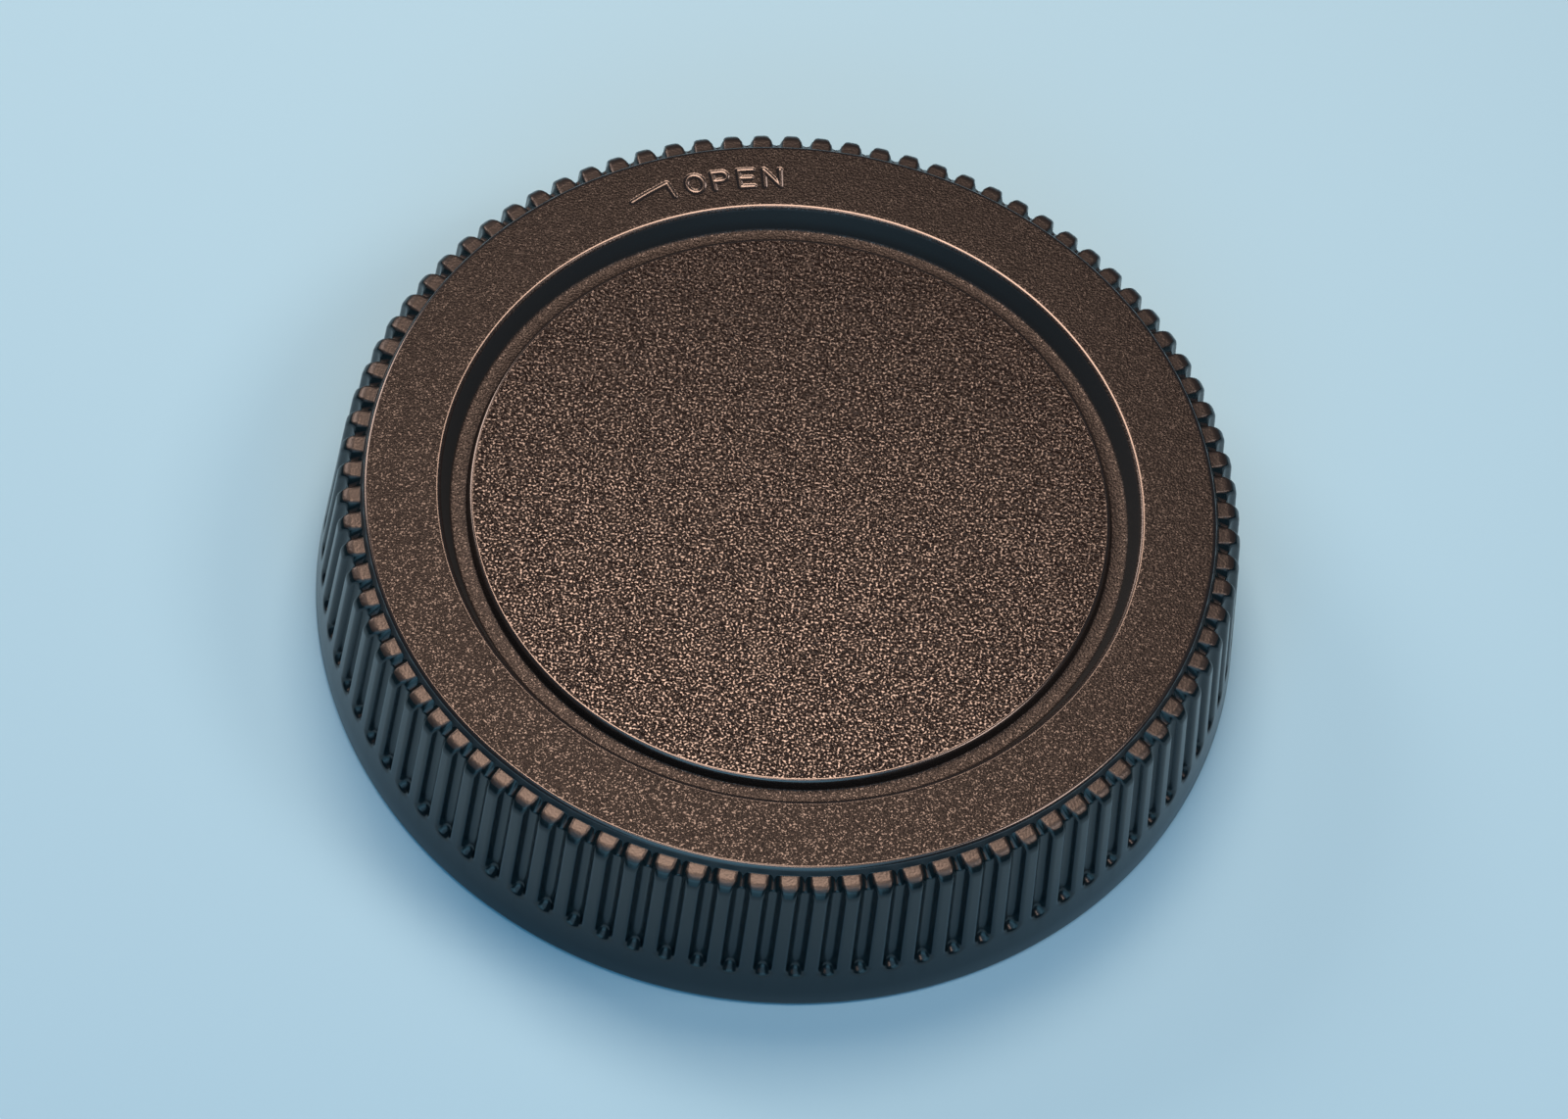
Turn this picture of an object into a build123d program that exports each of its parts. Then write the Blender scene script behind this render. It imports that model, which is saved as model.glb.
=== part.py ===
"""Rear cap for an interchangeable camera lens: one moulding with a knurled skirt and a three-lug bayonet.

The cap lies on its open rim. The origin is the centre of the rim, and +Z points out of the front face.
Lengths are in millimetres and angles in degrees.
"""

import os
from math import cos, radians, sin, tan

from build123d import *

# Outside of the moulding
rim_diameter = 57.0
cap_height = 12.25
skirt_draft = 4.8
rim_edge_bevel = 0.35

# Front ring, moat and disc: each is as wide as said here, inwards, and drops from the face of the ring
ring_width = 4.64
moat_width = 1.0
moat_depth = 1.55
moat_wall_draft = 22.4
disc_drop = 0.79
disc_wall_draft = 9.0

# Knurl: upright ribs left standing between grooves that narrow from mouth to floor
rib_count = 90
rib_drop = 0.57
rib_tip_bevel = 0.5
shoulder_draft = 16.5
groove_depth = 0.66
groove_mouth_width = 1.12
groove_belly_width = 0.86
groove_belly_depth = 0.38
groove_floor_width = 0.46
groove_foot = 3.2
groove_end_bevel = 0.3
groove_head_width = 0.6
groove_cove_fall = 0.42
groove_ledge_width = 0.72
groove_ledge_fall = 0.62

# Walls and bayonet collar inside the skirt
skirt_wall = 1.56
face_wall = 1.6
moat_floor_wall = 1.4
trough_width = 2.6
collar_wall = 1.5
collar_set_back = 0.4

# Bayonet lugs and the stop that ends their turn
lug_count = 3
first_lug_angle = 90.0
lug_reach = 1.9
lug_arc = 42.0
lug_thickness = 1.3
lug_set_back = 0.9
lug_lead_in = 0.5
stop_arc = 5.0
stop_height = 2.2
stop_reach = 1.4

# How far a cutter stands past the face it cuts, and a joining piece sinks into the wall that carries it
overrun = 0.5

rim_radius = rim_diameter / 2
rib_top = cap_height - rib_drop
disc_top = cap_height - disc_drop
moat_floor = cap_height - moat_depth
trough_top = cap_height - face_wall
cavity_top = moat_floor - moat_floor_wall
lug_top = lug_set_back + lug_thickness

rib_pitch = 360 / rib_count
skirt_lean = radians(skirt_draft)


def skirt_radius(height):
    """Radius of the rib tips, and of the plain band under them, at a height above the rim."""
    return rim_radius - (height - rim_edge_bevel) * tan(skirt_lean)


def groove_floor_radius(height):
    return skirt_radius(height) - groove_depth / cos(skirt_lean)


def skirt_inner_radius(height):
    return groove_floor_radius(height) - skirt_wall / cos(skirt_lean)


def lean(height, draft):
    """How far a drafted wall leans over its height."""
    return height * tan(radians(draft))


# Radii of the front face, from the groove floors inwards
shoulder_radius = groove_floor_radius(rib_top) - groove_ledge_width
ring_outer_radius = shoulder_radius - lean(rib_drop, shoulder_draft)
ring_inner_radius = ring_outer_radius - ring_width
moat_outer_radius = ring_inner_radius - lean(moat_depth, moat_wall_draft)
disc_foot_radius = moat_outer_radius - moat_width
disc_radius = disc_foot_radius - lean(disc_top - moat_floor, disc_wall_draft)

# Radii inside the cap, from the skirt inwards, with the trough measured at the rim
collar_outer_radius = skirt_inner_radius(0) - trough_width
collar_radius = collar_outer_radius - collar_wall
lug_tip_radius = collar_radius - lug_reach

# One groove: a channel up the slope of the skirt, with its lower end bevelled
groove_plane = Plane(
    origin=(skirt_radius(groove_foot), 0, groove_foot),
    x_dir=(0, 1, 0),
    z_dir=(-sin(skirt_lean), 0, cos(skirt_lean)),
)
groove_floor_half = groove_floor_width / 2
groove_belly_half = groove_belly_width / 2
groove_mouth_half = groove_mouth_width / 2
groove_flank_spread = (groove_mouth_half - groove_belly_half) / groove_belly_depth
groove_cutter_half = groove_mouth_half + overrun * groove_flank_spread
groove_length = (rib_top - groove_foot) / cos(skirt_lean) + overrun
with BuildPart() as groove:
    with BuildSketch(groove_plane):
        with BuildLine():
            Polyline(
                (-groove_floor_half, groove_depth),
                (groove_floor_half, groove_depth),
                (groove_belly_half, groove_belly_depth),
                (groove_cutter_half, -overrun),
                (-groove_cutter_half, -overrun),
                (-groove_belly_half, groove_belly_depth),
                close=True,
            )
        make_face()
    extrude(amount=groove_length)
    lower_end = groove.faces().sort_by(Axis.Z)[0]
    chamfer(lower_end.edges().sort_by(Axis.X)[:5], length=groove_end_bevel)
    # At the head of the groove the shoulder runs on down, and a ledge leads from it to the groove floor
    with BuildSketch(Plane.XZ):
        with BuildLine():
            cove_foot = rib_top - groove_cove_fall
            cove_radius = shoulder_radius + lean(groove_cove_fall, shoulder_draft)
            ledge_foot = rib_top - groove_ledge_fall
            ledge_end = groove_floor_radius(ledge_foot)
            Polyline(
                (shoulder_radius, rib_top),
                (cove_radius, cove_foot),
                (ledge_end, ledge_foot),
                (ledge_end + overrun, ledge_foot),
                (ledge_end + overrun, rib_top + overrun),
                (shoulder_radius, rib_top + overrun),
                close=True,
            )
        make_face()
    extrude(amount=groove_head_width / 2, both=True)

# One bayonet lug: an arc that grows out of the collar, with a lead-in where the lens meets it first
with BuildPart() as lug:
    with BuildSketch(Plane.XY.offset(lug_set_back)):
        with BuildLine():
            tip = CenterArc((0, 0), lug_tip_radius, -lug_arc / 2, lug_arc)
            root = CenterArc((0, 0), collar_radius + overrun, -lug_arc / 2, lug_arc)
            Line(tip @ 0, root @ 0)
            Line(tip @ 1, root @ 1)
        make_face()
    extrude(amount=lug_thickness)
    leading_end = lug.faces().filter_by(GeomType.PLANE).sort_by(Axis.Y)[-1]
    chamfer(leading_end.edges().sort_by(Axis.Z)[-1], length=lug_lead_in)

# The stop stands on the trailing end of one lug
with BuildPart() as stop:
    with BuildSketch(Plane.XY.offset(lug_top - overrun)):
        with BuildLine():
            stop_face = CenterArc((0, 0), collar_radius - stop_reach, -lug_arc / 2, stop_arc)
            stop_root = CenterArc((0, 0), collar_radius + overrun, -lug_arc / 2, stop_arc)
            Line(stop_face @ 0, stop_root @ 0)
            Line(stop_face @ 1, stop_root @ 1)
        make_face()
    extrude(amount=stop_height + overrun)

# Half section of the moulding, from the axis on the front face round to the axis inside
with BuildPart() as lens_cap:
    with BuildSketch(Plane.XZ):
        with BuildLine():
            Polyline(
                (0, disc_top),
                (disc_radius, disc_top),
                (disc_foot_radius, moat_floor),
                (moat_outer_radius, moat_floor),
                (ring_inner_radius, cap_height),
                (ring_outer_radius, cap_height),
                (shoulder_radius, rib_top),
                (skirt_radius(rib_top) - rib_tip_bevel, rib_top),
                (skirt_radius(rib_top - rib_tip_bevel), rib_top - rib_tip_bevel),
                (rim_radius, rim_edge_bevel),
                (rim_radius - rim_edge_bevel, 0),
                (skirt_inner_radius(0), 0),
                (skirt_inner_radius(trough_top), trough_top),
                (collar_outer_radius, trough_top),
                (collar_outer_radius, collar_set_back),
                (collar_radius, collar_set_back),
                (collar_radius, cavity_top),
                (0, cavity_top),
                close=True,
            )
        make_face()
    revolve(axis=Axis.Z)
    with PolarLocations(0, rib_count, start_angle=rib_pitch / 2):
        add(groove.part, mode=Mode.SUBTRACT)
    with PolarLocations(0, lug_count, start_angle=first_lug_angle):
        add(lug.part)
    with PolarLocations(0, 1, start_angle=first_lug_angle):
        add(stop.part)

lens_cap.part.label = "lens_cap"
os.makedirs("parts", exist_ok=True)
export_step(lens_cap.part, "parts/lens_cap.step")
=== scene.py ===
"""Looks of the rear lens cap: one black moulding with a knurled skirt, a grained disc and engraved marks.

Sizes are in millimetres and angles in degrees.
Meshes, lamps and the camera are turned into metres where they are made.
"""

from math import asin, atan2, cos, hypot, pi, radians, sin, tan

import bmesh
import bpy
import numpy as np
from mathutils import Matrix, Vector


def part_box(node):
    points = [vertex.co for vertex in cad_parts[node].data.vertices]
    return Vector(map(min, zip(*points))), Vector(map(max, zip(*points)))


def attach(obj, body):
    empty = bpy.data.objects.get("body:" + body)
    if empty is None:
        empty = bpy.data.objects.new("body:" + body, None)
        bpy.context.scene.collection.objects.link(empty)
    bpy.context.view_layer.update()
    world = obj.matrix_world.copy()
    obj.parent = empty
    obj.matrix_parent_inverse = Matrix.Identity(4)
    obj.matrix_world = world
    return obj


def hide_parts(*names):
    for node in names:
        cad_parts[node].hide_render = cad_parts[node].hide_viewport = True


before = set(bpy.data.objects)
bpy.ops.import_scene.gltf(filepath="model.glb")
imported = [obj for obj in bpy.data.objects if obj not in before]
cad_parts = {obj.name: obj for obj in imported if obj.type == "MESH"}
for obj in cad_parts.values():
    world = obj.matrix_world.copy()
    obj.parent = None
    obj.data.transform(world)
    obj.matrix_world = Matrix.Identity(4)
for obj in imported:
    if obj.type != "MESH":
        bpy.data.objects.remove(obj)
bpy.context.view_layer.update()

# Millimetres in a metre, and degrees in a full turn
METRE = 1000.0
FULL_TURN = 360

low_corner, high_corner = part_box("lens_cap")

# Outside of the moulding
rim_radius = (high_corner.x - low_corner.x) / 2 * METRE
cap_height = high_corner.z * METRE
skirt_draft = 4.8
rim_bevel_height = 0.35
rim_edge_rounding = 0.38

# Knurl
rib_count = 90
rib_pitch = FULL_TURN / rib_count
rib_drop = 0.57
rib_top = cap_height - rib_drop
rib_tip_rounding = 0.85
rib_edge_rounding = 0.3
rib_foot_fillet = 0.08
shoulder_draft = 16.5
groove_depth = 0.66
groove_mouth_half = 0.56
groove_flank_draft = 18.9
groove_floor_rounding = 0.45
groove_foot = 3.2
groove_cove_fall = 0.42
groove_cove_fillet = 0.32
groove_ledge_width = 0.72
groove_ledge_fall = 0.62
groove_lip_rounding = 0.2

# Half widths of a groove's head, which is narrow at the ring's shoulder and wide at the front of the ribs
head_floor_at_shoulder = 0.05
head_edge_at_shoulder = 0.27
head_floor_at_front = 0.24
head_edge_at_front = 0.52

# Heights of the mesh rows round the lower end of a groove, measured from its foot
groove_end_rows = (0.6, 0.45, 0.34, 0.24, 0.15, 0.07, 0, -0.07, -0.16, -0.26)

# Front ring, moat and disc
ring_width = 4.64
ring_outer_rounding = 0.28
ring_inner_rounding = 0.35
moat_width = 1.0
moat_depth = 1.55
moat_floor = cap_height - moat_depth
moat_wall_draft = 22.4
moat_fillet = 0.2
disc_drop = 0.79
disc_top = cap_height - disc_drop
disc_wall_draft = 9
disc_edge_rounding = 0.28
disc_foot_fillet = 0.1

# Inside of the cap
skirt_wall = 1.56
trough_width = 2.6
face_wall = 1.6
trough_top = cap_height - face_wall
trough_fillet = 0.3
moat_floor_wall = 1.4
cavity_top = moat_floor - moat_floor_wall
cavity_fillet = 0.4
collar_wall = 1.5
collar_foot = 0.4
inner_edge_rounding = 0.15

# Bayonet lugs and the stop on the trailing end of the first one
lug_angles = (90, 210, 330)
lug_half_arc = 21
lug_reach = 1.9
lug_foot = 0.9
lug_top = 2.2
lug_lead_in = 0.5
lug_edge = 0.15
stop_arc = 5
stop_reach = 1.4
stop_height = 2.2
stop_top = lug_top + stop_height

# Rows at the start and at the end of the inside profile that a lug leaves at whole degrees
plain_rows_before_lug = 16
plain_rows_after_lug = 5

# Seams between the meshes, measured from the edges of the ring's face and of the rim
ring_seam = 0.4
ring_fine_edge = 0.25
ring_inner_seam = 0.55
rim_seam = 0.8
rim_fine_edge = 0.6

# Engraved arrow and opening word on the ring
stroke_half_width = 0.19
stroke_depth = 0.055
word_angle = 105.05
letter_foot_radius = 22.98
letter_height = 1.25
letter_pitch = 1.63
round_letter_width = 1.08
round_letter_points = 29
bowl_letter_width = 0.9
bowl_straight = 0.56
bowl_reach = 0.33
bowl_foot = 0.6
bowl_points = 9
barred_letter_width = 0.88
middle_bar_height = 0.65
middle_bar_length = 0.76
slanted_letter_width = 1.0

# Corners of the arrow, as (radius, angle)
arrow_corners = ((23.39, 121.3), (24.05, 115.1), (22.98, 114.6))

# Fine patch of the ring's face that holds the marks: its angles, its radii and its mesh steps
engraved_from, engraved_to = 97, 123
engraved_low, engraved_high = 22.4, 24.8
fine_steps_per_degree = 8
fine_rows = 46

# Finishes of the black plastic
plastic_ior = 1.52
# Near-black plastic tinted teal for the skirt and the moat wall: a painted reflection of the blue floor
black_with_painted_floor_reflection = (0.002, 0.0075, 0.0105)
# Near-black plastic, faintly warm on the ring, edges, moat floor, rib tops and disc: partly the plastic's
# own black, partly a painted warm sheen
black_with_painted_warm_sheen = (0.010, 0.0085, 0.008)
disc_black_with_painted_warm_sheen = (0.012, 0.009, 0.008)
speck_fade = 0.24
speck_ior = 2.1
speck_roughness = 0.25

# Numbers of the finishes, in the order of the material slots
SKIRT, RING, DISC, EDGES, MOAT_FLOOR, RIB_TOPS, MOAT_WALL = range(7)

# Least upward part of the normal of a level and of a sloping face, and least outward part of a rib's front
level_face = 0.995
sloping_face = 0.6
rib_front_face = 0.45

# Points closer than the first of these are welded, and heights closer than the second count as the same
weld_distance = 0.0002
height_slack = 0.002

# Floor and light
paper_colour = (0.34, 0.62, 0.80)
paper_roughness = 0.85
paper_half_width = 1500
warm_light = (1.0, 0.65, 0.48)
edge_light = (1.0, 0.72, 0.60)
front_light = (0.30, 0.72, 1.0)
cool_light = (0.36, 0.72, 1.0)
air_colour = (0.40, 0.68, 0.95)
air_strength = 0.08

# Camera, fitted to the circles and ribs of the cap
picture_width, picture_height = 1600, 1142
focal_pixels = 7860
ring_centre_pixel = (807.87, 507.19)
ring_centre_depth = 468.0
view_elevation = 57.589
view_roll = 8.88
rib_phase = 1.337
sensor_width = 36.0
nearest_seen = 10.0

skirt_lean = radians(skirt_draft)


def lean(height, draft):
    """How far a drafted wall leans over its height."""
    return height * tan(radians(draft))


def skirt_radius(height):
    """Radius of the rib tips, and of the plain band under them, at a height above the rim."""
    return rim_radius - lean(height - rim_bevel_height, skirt_draft)


groove_floor_inset = groove_depth / cos(skirt_lean)
shoulder_radius = skirt_radius(rib_top) - groove_floor_inset - groove_ledge_width
ring_outer_radius = shoulder_radius - lean(rib_drop, shoulder_draft)
ring_inner_radius = ring_outer_radius - ring_width
moat_outer_radius = ring_inner_radius - lean(moat_depth, moat_wall_draft)
disc_foot_radius = moat_outer_radius - moat_width
disc_radius = disc_foot_radius - lean(disc_top - moat_floor, disc_wall_draft)


def skirt_inner_radius(height):
    return skirt_radius(height) - groove_floor_inset - skirt_wall / cos(skirt_lean)


collar_outer_radius = skirt_inner_radius(0) - trough_width
collar_radius = collar_outer_radius - collar_wall
lug_tip_radius = collar_radius - lug_reach
stop_radius = collar_radius - stop_reach
ring_seam_radius = ring_outer_radius - ring_seam
ring_inner_seam_radius = ring_inner_radius + ring_inner_seam
rim_seam_radius = rim_radius - rim_seam
word_middle_radius = letter_foot_radius + letter_height / 2


def rounded(corners):
    """Points along a line whose corners are arcs.

    A corner is (across, up, rounding, steps). One that has steps but no rounding is repeated instead.
    """
    points = []
    for i, (across, up, rounding, steps) in enumerate(corners):
        here = np.array((across, up))
        if steps == 0:
            points.append(here)
            continue
        if rounding == 0:
            points.extend([here] * (steps + 1))
            continue
        back = np.array(corners[i - 1][:2]) - here
        ahead = np.array(corners[i + 1][:2]) - here
        back /= np.linalg.norm(back)
        ahead /= np.linalg.norm(ahead)
        half_angle = np.arccos(np.clip(back @ ahead, -1, 1)) / 2
        middle = (back + ahead) / np.linalg.norm(back + ahead)
        centre = here + middle * rounding / sin(half_angle)
        start = here + back * rounding / tan(half_angle) - centre
        turn = pi - 2 * half_angle
        if back[0] * ahead[1] - back[1] * ahead[0] > 0:
            turn = -turn
        for angle in np.linspace(0, turn, steps + 1):
            c, s = cos(angle), sin(angle)
            points.append(centre + (c * start[0] - s * start[1], s * start[0] + c * start[1]))
    return points


def at_angle(radius, height, angle):
    """Place of a point of a profile, at an angle about the cap's axis."""
    return (radius * cos(radians(angle)), radius * sin(radians(angle)), height)


def new_mesh(name, places, faces):
    """A mesh in metres from places in millimetres."""
    mesh = bpy.data.meshes.new(name)
    mesh.from_pydata([Vector(p) / METRE for p in places], [], faces)
    return mesh


def new_object(name, data):
    """An object in the scene that holds a mesh, a light or a camera."""
    piece = bpy.data.objects.new(name, data)
    bpy.context.scene.collection.objects.link(piece)
    return piece


def between_columns(column_count, rows, closed):
    """Faces of the surface through columns of points that all have the same number of rows."""
    strips = column_count if closed else column_count - 1
    faces = []
    for i in range(strips):
        here = i * rows
        beside = (i + 1) % column_count * rows
        for j in range(rows - 1):
            faces.append((here + j, beside + j, beside + j + 1, here + j + 1))
    return faces


# Knurled skirt

def groove_section():
    """Half section of a groove, from its middle out to the rib: distances from the middle, and depths."""
    floor_corner = groove_mouth_half - lean(groove_depth, groove_flank_draft)
    points = rounded((
        (0, groove_depth, 0, 0),
        (floor_corner, groove_depth, groove_floor_rounding, 5),
        (groove_mouth_half, 0, rib_edge_rounding, 4),
        (2 * groove_mouth_half, 0, 0, 0),
    ))[:-1]
    return np.array(points).T


groove_offsets, groove_depths = groove_section()
groove_reach = groove_offsets[-1]


def depth_in_groove(offset, height):
    """Depth of the groove at a distance from its middle, with its lower end as round as a slot's."""
    rise = (height - groove_foot) / cos(skirt_lean)
    below = max(0, groove_mouth_half - rise)
    return np.interp(hypot(offset, below), groove_offsets, groove_depths)


def rounded_step(across, begin, end):
    """Falls from 1 to 0 between two distances, along a quarter of a circle."""
    aside = np.clip((across - begin) / (end - begin), 0, 1)
    return 1 - (1 - (1 - aside) ** 2) ** 0.5


def skirt_profile(offset):
    """Profile of the skirt at a distance from the middle of a groove, from the ring down to the rim."""
    across = abs(offset)
    depth = np.interp(across, groove_offsets, groove_depths)
    inset = depth / cos(skirt_lean)
    sunk_at_shoulder = rounded_step(across, head_floor_at_shoulder, head_edge_at_shoulder)
    sunk_at_front = rounded_step(across, head_floor_at_front, head_edge_at_front)
    cove = groove_cove_fall * sunk_at_shoulder
    head = rib_top - groove_ledge_fall * sunk_at_front
    foot_fillet = rib_foot_fillet + (groove_cove_fillet - rib_foot_fillet) * sunk_at_shoulder
    lip = rib_tip_rounding + (groove_lip_rounding - rib_tip_rounding) * depth / groove_depth
    points = rounded((
        (ring_outer_radius - ring_fine_edge, cap_height, 0, 0),
        (ring_outer_radius, cap_height, ring_outer_rounding, 4),
        (shoulder_radius + lean(cove, shoulder_draft), rib_top - cove, foot_fillet, 3),
        (skirt_radius(head) - inset, head, lip, 5),
        (skirt_radius(groove_foot) - inset, groove_foot, 0, 0),
    ))[:-1]
    for rise in groove_end_rows:
        height = groove_foot + rise
        points.append((skirt_radius(height) - depth_in_groove(offset, height) / cos(skirt_lean), height))
    band_middle = groove_foot / 2
    points.extend(rounded((
        (skirt_radius(band_middle), band_middle, 0, 0),
        (skirt_radius(0), 0, rim_edge_rounding, 4),
        (rim_radius - rim_fine_edge, 0, 0, 0),
    )))
    return points


def skirt_sector():
    """One pitch of the skirt, from seam to seam: a groove with half a rib on either side."""
    half_pitch = rib_pitch / 2
    places = []
    offsets = [-o for o in groove_offsets[:0:-1]] + list(groove_offsets)
    columns = [(groove_reach, -1)] + [(o, 0) for o in offsets] + [(groove_reach, 1)]
    for offset, side in columns:
        profile = skirt_profile(offset)
        for radius, height in profile:
            aside = side * half_pitch if side else np.degrees(asin(offset / radius))
            places.append(at_angle(radius, height, half_pitch + aside))
    rows = len(profile)
    faces = between_columns(len(columns), rows, closed=False)
    for radius, height, row in ((ring_seam_radius, cap_height, 0), (rim_seam_radius, 0, rows - 1)):
        seam = len(places)
        steps = int(rib_pitch)
        places.extend(at_angle(radius, height, k) for k in range(steps + 1))
        fine = [i * rows + row for i in range(len(columns))]
        fine_angles = [np.degrees(atan2(places[k][1], places[k][0])) for k in fine]
        nearest = [round(angle) for angle in fine_angles]
        for k in range(steps):
            begin = nearest.index(k)
            end = nearest.index(k + 1) if k + 1 < steps else len(fine) - 1
            faces.append([seam + k + 1, seam + k] + fine[begin:end + 1])
    return new_mesh("skirt_sector", places, faces)


def knurl_nodes():
    """Geometry nodes that repeat one pitch of the skirt round the cap's axis and weld the copies."""
    tree = bpy.data.node_groups.new("knurl", "GeometryNodeTree")
    sockets = tree.interface
    sockets.new_socket("Geometry", in_out="INPUT", socket_type="NodeSocketGeometry")
    ribs = sockets.new_socket("Rib Count", in_out="INPUT", socket_type="NodeSocketInt")
    weld = sockets.new_socket("Weld Distance", in_out="INPUT", socket_type="NodeSocketFloat")
    finish = sockets.new_socket("Plastic", in_out="INPUT", socket_type="NodeSocketMaterial")
    sockets.new_socket("Geometry", in_out="OUTPUT", socket_type="NodeSocketGeometry")
    node = tree.nodes.new
    link = tree.links.new
    given = node("NodeGroupInput")
    points = node("GeometryNodePoints")
    link(given.outputs["Rib Count"], points.inputs["Count"])
    index = node("GeometryNodeInputIndex")
    turns = node("ShaderNodeMath")
    turns.operation = "DIVIDE"
    link(index.outputs[0], turns.inputs[0])
    link(given.outputs["Rib Count"], turns.inputs[1])
    angle = node("ShaderNodeMath")
    angle.operation = "MULTIPLY"
    angle.inputs[1].default_value = 2 * pi
    link(turns.outputs[0], angle.inputs[0])
    rotation = node("ShaderNodeCombineXYZ")
    link(angle.outputs[0], rotation.inputs["Z"])
    copies = node("GeometryNodeInstanceOnPoints")
    link(points.outputs[0], copies.inputs["Points"])
    link(given.outputs["Geometry"], copies.inputs["Instance"])
    link(rotation.outputs[0], copies.inputs["Rotation"])
    real = node("GeometryNodeRealizeInstances")
    link(copies.outputs[0], real.inputs[0])
    welded = node("GeometryNodeMergeByDistance")
    link(real.outputs[0], welded.inputs["Geometry"])
    link(given.outputs["Weld Distance"], welded.inputs["Distance"])
    finished = node("GeometryNodeSetMaterial")
    link(welded.outputs[0], finished.inputs["Geometry"])
    link(given.outputs["Plastic"], finished.inputs["Material"])
    made = node("NodeGroupOutput")
    link(finished.outputs[0], made.inputs["Geometry"])
    return tree, {"ribs": ribs.identifier, "weld": weld.identifier, "finish": finish.identifier}


def knurled_skirt(finish):
    """Plain mesh of the whole skirt."""
    sector = new_object("skirt_sector", skirt_sector())
    tree, inputs = knurl_nodes()
    modifier = sector.modifiers.new("knurl", "NODES")
    modifier.node_group = tree
    modifier[inputs["ribs"]] = rib_count
    modifier[inputs["weld"]] = weld_distance / METRE
    modifier[inputs["finish"]] = finish
    evaluated = sector.evaluated_get(bpy.context.evaluated_depsgraph_get())
    mesh = bpy.data.meshes.new_from_object(evaluated)
    bpy.data.objects.remove(sector)
    return mesh


# Front face

def disc_and_moat():
    """Disc, moat and inner edge of the ring, turned about the axis."""
    profile = rounded((
        (0, disc_top, 0, 0),
        (disc_radius / 2, disc_top, 0, 0),
        (disc_radius, disc_top, disc_edge_rounding, 3),
        (disc_foot_radius, moat_floor, disc_foot_fillet, 3),
        (moat_outer_radius, moat_floor, moat_fillet, 4),
        (ring_inner_radius, cap_height, ring_inner_rounding, 5),
        (ring_inner_seam_radius, cap_height, 0, 0),
    ))
    places = [at_angle(r, z, angle) for angle in range(FULL_TURN) for r, z in profile]
    return new_mesh("disc_and_moat", places, between_columns(FULL_TURN, len(profile), closed=True))


def letter_strokes():
    """Widths and centre lines of the opening word's letters, in (along, up) points from each lower left."""
    top = letter_height
    middle = top / 2
    half_width = round_letter_width / 2
    bend = np.linspace(0, 2 * pi, round_letter_points)
    loop = [(half_width + half_width * sin(a), middle + middle * cos(a)) for a in bend]
    bowl_middle = (top + bowl_foot) / 2
    bowl_half = (top - bowl_foot) / 2
    half_bend = np.linspace(pi / 2, -pi / 2, bowl_points)
    bowl = [(bowl_straight + bowl_reach * cos(a), bowl_middle + bowl_half * sin(a)) for a in half_bend]
    bars = ((barred_letter_width, 0), (0, 0), (0, top), (barred_letter_width, top))
    middle_bar = ((0, middle_bar_height), (middle_bar_length, middle_bar_height))
    slant = ((0, 0), (0, top), (slanted_letter_width, 0), (slanted_letter_width, top))
    return (
        (round_letter_width, (loop,)),
        (bowl_letter_width, (((0, 0), (0, top)), [(0, top)] + bowl + [(0, bowl_foot)])),
        (barred_letter_width, (bars, middle_bar)),
        (slanted_letter_width, (slant,)),
    )


def engraved_segments():
    """Ends of the strokes' straight pieces, as (along, up) pairs from the middle of the word's foot."""
    lines = []
    letters = letter_strokes()
    for n, (width, strokes) in enumerate(letters):
        start = (n - (len(letters) - 1) / 2) * letter_pitch - width / 2
        lines.extend([(start + x, y) for x, y in stroke] for stroke in strokes)
    lines.append([
        (radians(word_angle - a) * word_middle_radius, r - letter_foot_radius) for r, a in arrow_corners
    ])
    return [(line[k], line[k + 1]) for line in lines for k in range(len(line) - 1)]


def engraved_heights(radii, angles):
    """Heights of the ring's face on a grid of radii and angles, sunk along the engraved strokes."""
    lengths = np.radians(word_angle - angles) * word_middle_radius
    along, up = np.meshgrid(lengths, radii - letter_foot_radius)
    nearest = np.full(along.shape, stroke_half_width)
    for (x0, y0), (x1, y1) in engraved_segments():
        length_squared = (x1 - x0) ** 2 + (y1 - y0) ** 2
        t = np.clip(((along - x0) * (x1 - x0) + (up - y0) * (y1 - y0)) / length_squared, 0, 1)
        distance = np.hypot(along - x0 - t * (x1 - x0), up - y0 - t * (y1 - y0))
        nearest = np.minimum(nearest, distance)
    return cap_height - stroke_depth * (1 - (nearest / stroke_half_width) ** 2)


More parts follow.
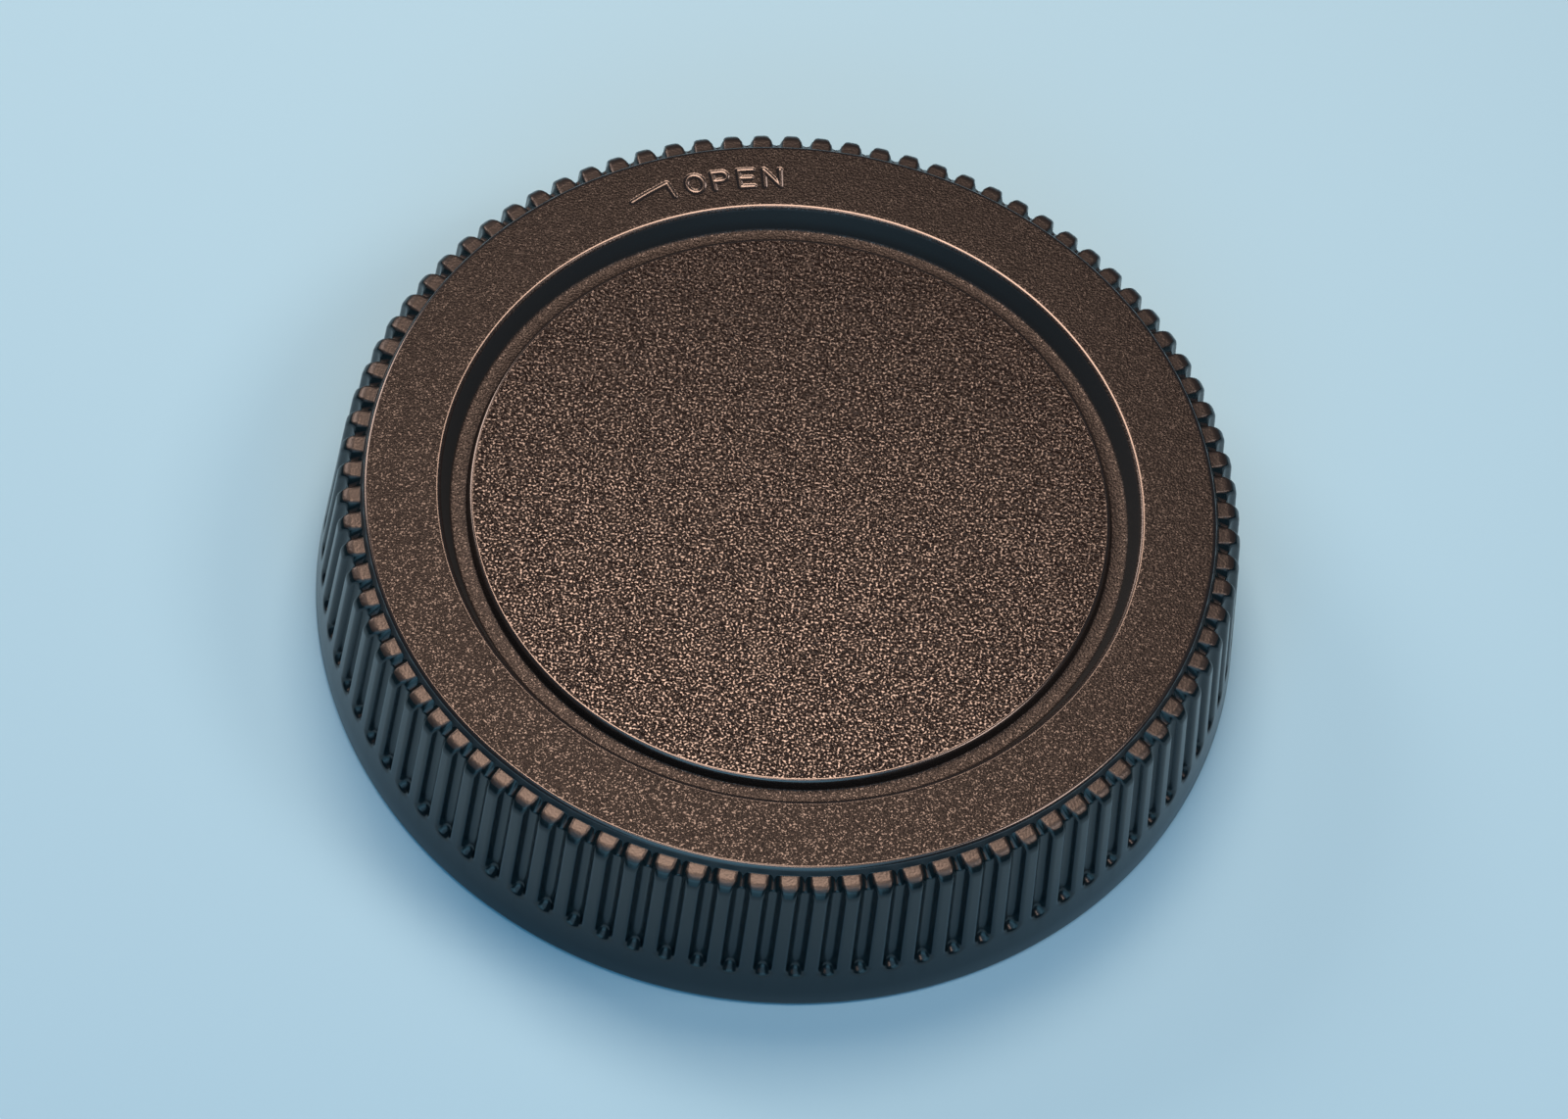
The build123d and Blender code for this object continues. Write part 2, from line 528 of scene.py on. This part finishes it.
def ring_face():
    """Flat of the ring between its two seams, with a fine patch where the marks are engraved."""
    inner = range(FULL_TURN)
    outer = range(FULL_TURN, 2 * FULL_TURN)
    places = [at_angle(ring_inner_seam_radius, cap_height, a) for a in range(FULL_TURN)]
    places.extend(at_angle(ring_seam_radius, cap_height, a) for a in range(FULL_TURN))
    faces = []
    for a in range(FULL_TURN):
        if not engraved_from - 1 <= a <= engraved_to:
            b = (a + 1) % FULL_TURN
            faces.append((inner[a], inner[b], outer[b], outer[a]))
    columns = (engraved_to - engraved_from) * fine_steps_per_degree + 1
    angles = np.linspace(engraved_from, engraved_to, columns)
    radii = np.linspace(engraved_low, engraved_high, fine_rows)
    heights = engraved_heights(radii, angles)
    first = len(places)
    for i in range(columns):
        places.extend(at_angle(radii[j], heights[j, i], angles[i]) for j in range(fine_rows))
    faces.extend(
        tuple(first + k for k in face) for face in between_columns(columns, fine_rows, closed=False)
    )
    low_side = [first + j for j in range(fine_rows)]
    high_side = [first + (columns - 1) * fine_rows + j for j in range(fine_rows)]
    a, b = engraved_from, engraved_to
    faces.append([inner[a - 1], inner[a]] + low_side + [outer[a], outer[a - 1]])
    faces.append([inner[b + 1], inner[b]] + high_side + [outer[b], outer[b + 1]])
    for a in range(engraved_from, engraved_to):
        step = (a - engraved_from) * fine_steps_per_degree
        edge = [first + (step + k) * fine_rows for k in range(fine_steps_per_degree + 1)]
        faces.append([inner[a + 1], inner[a]] + edge)
        faces.append([outer[a + 1], outer[a]] + [k + fine_rows - 1 for k in edge])
    return new_mesh("ring_face", places, faces)


# Inside of the cap

def inside_profile(lug, stop, top, edge):
    """Profile from the rim's seam, round the trough and down the collar to the middle of the cavity.

    lug and stop say what stands out of the collar there, top is the lug's upper side, edge its end bevel.
    """
    tip = lug_tip_radius + edge if lug else collar_radius
    foot = lug_foot + edge if lug else lug_foot
    head = top - edge
    stop_face = stop_radius + edge if stop else collar_radius
    stop_head = stop_top - edge if stop else head
    lug_round = inner_edge_rounding if lug else 0
    stop_round = inner_edge_rounding if stop else 0
    return rounded((
        (rim_seam_radius, 0, 0, 0),
        (skirt_inner_radius(0), 0, inner_edge_rounding, 2),
        (skirt_inner_radius(trough_top), trough_top, trough_fillet, 3),
        (collar_outer_radius, trough_top, trough_fillet, 3),
        (collar_outer_radius, collar_foot, inner_edge_rounding, 2),
        (collar_radius, collar_foot, inner_edge_rounding, 2),
        (collar_radius, foot, 0, 0),
        (tip, foot, lug_round, 2),
        (tip, head, lug_round, 2),
        (stop_face, head, 0, 0),
        (stop_face, stop_head, stop_round, 2),
        (collar_radius, stop_head, 0, 0),
        (collar_radius, cavity_top, cavity_fillet, 3),
        (0, cavity_top, 0, 0),
    ))


def lug_columns(middle):
    """Columns of one lug.

    Each is (whole degree, angle of the lug's own points, stop, upper side, bevel at the lug's end).
    """
    begin, end = middle - lug_half_arc, middle + lug_half_arc
    has_stop = middle == lug_angles[0]
    per_degree = lug_tip_radius * radians(1)
    bevel = lug_edge / per_degree
    ramp = lug_lead_in / per_degree
    columns = [(begin, begin, has_stop, lug_top, lug_edge), (begin, begin + bevel, has_stop, lug_top, 0)]
    for angle in range(begin + 1, end):
        fall = max(0, angle - (end - ramp)) / ramp * lug_lead_in
        in_stop = has_stop and angle <= begin + stop_arc
        columns.append((angle, angle, in_stop, lug_top - fall, 0))
        if in_stop and angle == begin + stop_arc:
            columns.append((angle, angle, False, lug_top, 0))
        if angle < end - ramp < angle + 1:
            columns.append((angle, end - ramp, False, lug_top, 0))
    last_fall = lug_lead_in * (1 - bevel / ramp)
    columns.append((end, end - bevel, False, lug_top - last_fall, 0))
    columns.append((end, end, False, lug_top - lug_lead_in, lug_edge))
    return columns


def cap_inside():
    """Skirt wall, trough, collar with its lugs and stop, and cavity."""
    columns = []
    plain = inside_profile(False, False, lug_top, 0)
    lug_rows = range(plain_rows_before_lug, len(plain) - plain_rows_after_lug)
    angle = 0
    while angle < FULL_TURN:
        middle = next((m for m in lug_angles if angle == m - lug_half_arc), None)
        columns.append([at_angle(r, z, angle) for r, z in plain])
        if middle is None:
            angle += 1
            continue
        for base, own, stop, top, edge in lug_columns(middle):
            profile = inside_profile(True, stop, top, edge)
            column = []
            for row, (r, z) in enumerate(profile):
                column.append(at_angle(r, z, own if row in lug_rows else base))
            columns.append(column)
        angle = middle + lug_half_arc
        columns.append([at_angle(r, z, angle) for r, z in plain])
        angle += 1
    places = [place for column in columns for place in column]
    return new_mesh("cap_inside", places, between_columns(len(columns), len(plain), closed=True))


# Finishes

def grain_group():
    """Shader group: height of the mould's grain, and a mask of the small glossy specks in it."""
    group = bpy.data.node_groups.new("moulded_grain", "ShaderNodeTree")
    sockets = group.interface
    for name in ("Grain Size", "Speck Size", "Speck Start", "Speck Strength"):
        sockets.new_socket(name, in_out="INPUT", socket_type="NodeSocketFloat")
    for name in ("Height", "Specks"):
        sockets.new_socket(name, in_out="OUTPUT", socket_type="NodeSocketFloat")
    node = group.nodes.new
    link = group.links.new
    given = node("NodeGroupInput")
    made = node("NodeGroupOutput")
    place = node("ShaderNodeTexCoord")

    def pebbles(size):
        scale = node("ShaderNodeMath")
        scale.operation = "DIVIDE"
        scale.inputs[0].default_value = METRE
        link(given.outputs[size], scale.inputs[1])
        noise = node("ShaderNodeTexNoise")
        noise.inputs["Detail"].default_value = 0.0
        link(place.outputs["Object"], noise.inputs["Vector"])
        link(scale.outputs[0], noise.inputs["Scale"])
        return noise.outputs[0]

    link(pebbles("Grain Size"), made.inputs["Height"])
    full = node("ShaderNodeMath")
    full.inputs[1].default_value = speck_fade
    link(given.outputs["Speck Start"], full.inputs[0])
    specks = node("ShaderNodeMapRange")
    link(pebbles("Speck Size"), specks.inputs["Value"])
    link(given.outputs["Speck Start"], specks.inputs["From Min"])
    link(full.outputs[0], specks.inputs["From Max"])
    link(given.outputs["Speck Strength"], specks.inputs["To Max"])
    link(specks.outputs[0], made.inputs["Specks"])
    return group


def plastic(name, colour, grain, roughness, shine, grain_size, grain_depth, specks=None):
    """Black moulded plastic with its own size and depth of grain, and specks as (size, start, strength)."""
    material = bpy.data.materials.new(name)
    material.use_nodes = True
    nodes = material.node_tree.nodes
    link = material.node_tree.links.new
    shader = nodes["Principled BSDF"]
    shader.inputs["Base Color"].default_value = (*colour, 1)
    shader.inputs["IOR"].default_value = plastic_ior
    shader.inputs["Roughness"].default_value = roughness
    shader.inputs["Specular IOR Level"].default_value = shine
    texture = nodes.new("ShaderNodeGroup")
    texture.node_tree = grain
    texture.inputs["Grain Size"].default_value = grain_size
    bump = nodes.new("ShaderNodeBump")
    bump.inputs["Strength"].default_value = 1.0
    bump.inputs["Distance"].default_value = grain_depth / METRE
    link(texture.outputs["Height"], bump.inputs["Height"])
    link(bump.outputs["Normal"], shader.inputs["Normal"])
    if specks:
        for socket, value in zip(("Speck Size", "Speck Start", "Speck Strength"), specks):
            texture.inputs[socket].default_value = value
        shader.inputs["Coat Roughness"].default_value = speck_roughness
        shader.inputs["Coat IOR"].default_value = speck_ior
        link(texture.outputs["Specks"], shader.inputs["Coat Weight"])
    return material


def finishes():
    """The plastic's finishes, by number."""
    grain = grain_group()
    return {
        SKIRT: plastic(
            "satin_skirt", black_with_painted_floor_reflection, grain, roughness=0.25, shine=0.5,
            grain_size=0.12, grain_depth=0.003,
        ),
        RING: plastic(
            "fine_grained_ring", black_with_painted_warm_sheen, grain, roughness=0.4, shine=0.17,
            grain_size=0.13, grain_depth=0.04, specks=(0.11, 0.6, 0.48),
        ),
        DISC: plastic(
            "grained_disc", disc_black_with_painted_warm_sheen, grain, roughness=0.3, shine=0.15,
            grain_size=0.22, grain_depth=0.15, specks=(0.14, 0.57, 1),
        ),
        EDGES: plastic(
            "polished_edges", black_with_painted_warm_sheen, grain, roughness=0.2, shine=1,
            grain_size=0.12, grain_depth=0.001,
        ),
        MOAT_FLOOR: plastic(
            "dull_moat", black_with_painted_warm_sheen, grain, roughness=0.42, shine=0.3,
            grain_size=0.13, grain_depth=0.04, specks=(0.11, 0.6, 0.42),
        ),
        RIB_TOPS: plastic(
            "rib_tops", black_with_painted_warm_sheen, grain, roughness=0.36, shine=0.6,
            grain_size=0.15, grain_depth=0.01,
        ),
        # The moat wall takes the skirt's teal tint, a painted reflection of the blue floor
        MOAT_WALL: plastic(
            "rough_moat_wall", black_with_painted_floor_reflection, grain, roughness=0.6, shine=0.75,
            grain_size=0.12, grain_depth=0.003,
        ),
    }


def finish_of_face(radius, height, level, outward):
    """Number of the finish of a face, by where it lies, how level it is and how far it faces outwards."""
    # The finish also sets the painted tint: warm painted sheen on the ring, disc, edges, moat floor and rib
    # tops, teal painted reflection on the skirt and the moat wall
    if radius > shoulder_radius:
        above_grooves = height > rib_top - groove_ledge_fall - groove_lip_rounding
        on_rib_top = above_grooves and level > sloping_face and outward < rib_front_face
        return RIB_TOPS if on_rib_top else SKIRT
    if height < cavity_top + height_slack:
        return SKIRT
    if radius < disc_radius:
        return DISC if level > level_face else EDGES
    if radius < disc_foot_radius:
        return MOAT_FLOOR
    if radius > engraved_high and height > cap_height - ring_outer_rounding:
        return RING if level > level_face else EDGES
    if engraved_low < radius < engraved_high and height < cap_height - height_slack:
        return EDGES
    if height < cap_height - stroke_depth:
        return MOAT_FLOOR if level > sloping_face else MOAT_WALL
    return RING if level > level_face else EDGES


# The cap as one closed mesh

def moulding():
    """The whole cap in one closed mesh, with the finish of each face chosen by where it lies."""
    materials = finishes()
    shape = bmesh.new()
    for mesh in (knurled_skirt(materials[SKIRT]), disc_and_moat(), ring_face(), cap_inside()):
        shape.from_mesh(mesh)
    bmesh.ops.remove_doubles(shape, verts=shape.verts, dist=weld_distance / METRE)
    bmesh.ops.dissolve_degenerate(shape, edges=shape.edges, dist=weld_distance / METRE)
    bmesh.ops.recalc_face_normals(shape, faces=shape.faces)
    for face in shape.faces:
        face.smooth = True
        middle = face.calc_center_median() * METRE
        radius = hypot(middle.x, middle.y)
        outward = face.normal.to_2d().dot(middle.to_2d()) / radius
        face.material_index = finish_of_face(radius, middle.z, face.normal.z, outward)
    mesh = bpy.data.meshes.new("cap_moulding")
    shape.to_mesh(mesh)
    shape.free()
    for number in sorted(materials):
        mesh.materials.append(materials[number])
    piece = new_object("cap_moulding", mesh)
    piece.modifiers.new("flat_faces_stay_flat", "WEIGHTED_NORMAL")
    evaluated = piece.evaluated_get(bpy.context.evaluated_depsgraph_get())
    finished = bpy.data.meshes.new_from_object(evaluated)
    piece.modifiers.clear()
    piece.data = finished
    return piece


# Stage

def floor():
    """Sheet of pale paper that the cap lies on."""
    material = bpy.data.materials.new("pale_blue_paper")
    material.use_nodes = True
    shader = material.node_tree.nodes["Principled BSDF"]
    shader.inputs["Base Color"].default_value = (*paper_colour, 1)
    shader.inputs["Roughness"].default_value = paper_roughness
    half = paper_half_width
    corners = ((-half, -half, 0), (half, -half, 0), (half, half, 0), (-half, half, 0))
    sheet = new_object("floor", new_mesh("floor", corners, ((0, 1, 2, 3),)))
    sheet.data.materials.append(material)
    return sheet


def lamp(name, azimuth, elevation, distance, width, power, colour):
    """Square soft lamp aimed at the cap from an angle about its axis and a height above the floor."""
    light = bpy.data.lights.new(name, "AREA")
    light.shape = "SQUARE"
    light.size = width / METRE
    light.energy = power
    light.color = colour
    away = Vector((
        cos(radians(elevation)) * cos(radians(azimuth)),
        cos(radians(elevation)) * sin(radians(azimuth)),
        sin(radians(elevation)),
    ))
    holder = new_object(name, light)
    holder.location = away * distance / METRE
    holder.rotation_euler = away.to_track_quat("Z", "Y").to_euler()


def studio():
    """Warm lamps above and beside the cap, cool ones in front of it, and a little light from all round."""
    lamp("main_light", azimuth=97, elevation=69.5, distance=250, width=100, power=0.44, colour=warm_light)
    lamp("top_light", azimuth=268, elevation=80, distance=260, width=70, power=0.1, colour=warm_light)
    lamp("left_edge", azimuth=140, elevation=35, distance=300, width=105, power=0.312, colour=edge_light)
    lamp("right_edge", azimuth=352, elevation=55, distance=300, width=90, power=0.24, colour=edge_light)
    lamp("front_fill", azimuth=270, elevation=22, distance=320, width=260, power=0.22, colour=front_light)
    lamp("cool_fill", azimuth=268, elevation=58, distance=620, width=620, power=1.2, colour=cool_light)
    world = bpy.data.worlds.new("studio_air")
    world.use_nodes = True
    air = world.node_tree.nodes["Background"]
    air.inputs["Color"].default_value = (*air_colour, 1)
    air.inputs["Strength"].default_value = air_strength
    bpy.context.scene.world = world


def photo_camera():
    """Camera at the photo's viewing angle, with the middle of the ring's face at the same pixel."""
    elevation, roll = radians(view_elevation), radians(view_roll)
    forward = Vector((0, cos(elevation), -sin(elevation)))
    level_right = Vector((1, 0, 0))
    level_down = forward.cross(level_right)
    right = level_right * cos(roll) - level_down * sin(roll)
    down = level_right * sin(roll) + level_down * cos(roll)
    turn = Matrix.Rotation(-radians(rib_phase), 3, "Z")
    right, down, forward = turn @ right, turn @ down, turn @ forward
    depth = ring_centre_depth / METRE
    across = (ring_centre_pixel[0] - picture_width / 2) / focal_pixels * depth
    below = (ring_centre_pixel[1] - picture_height / 2) / focal_pixels * depth
    place = Vector((0, 0, cap_height / METRE)) - right * across - down * below - forward * depth
    data = bpy.data.cameras.new("photo_camera")
    data.sensor_fit = "HORIZONTAL"
    data.sensor_width = sensor_width
    data.lens = focal_pixels * sensor_width / picture_width
    data.clip_start = nearest_seen / METRE
    camera = new_object("photo_camera", data)
    axes = Matrix((right, -down, -forward)).transposed().to_4x4()
    camera.matrix_world = Matrix.Translation(place) @ axes
    bpy.context.scene.camera = camera


cap = moulding()
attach(cap, "root")
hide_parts("lens_cap")
floor()
studio()
photo_camera()
bpy.context.scene.view_settings.view_transform = "Standard"
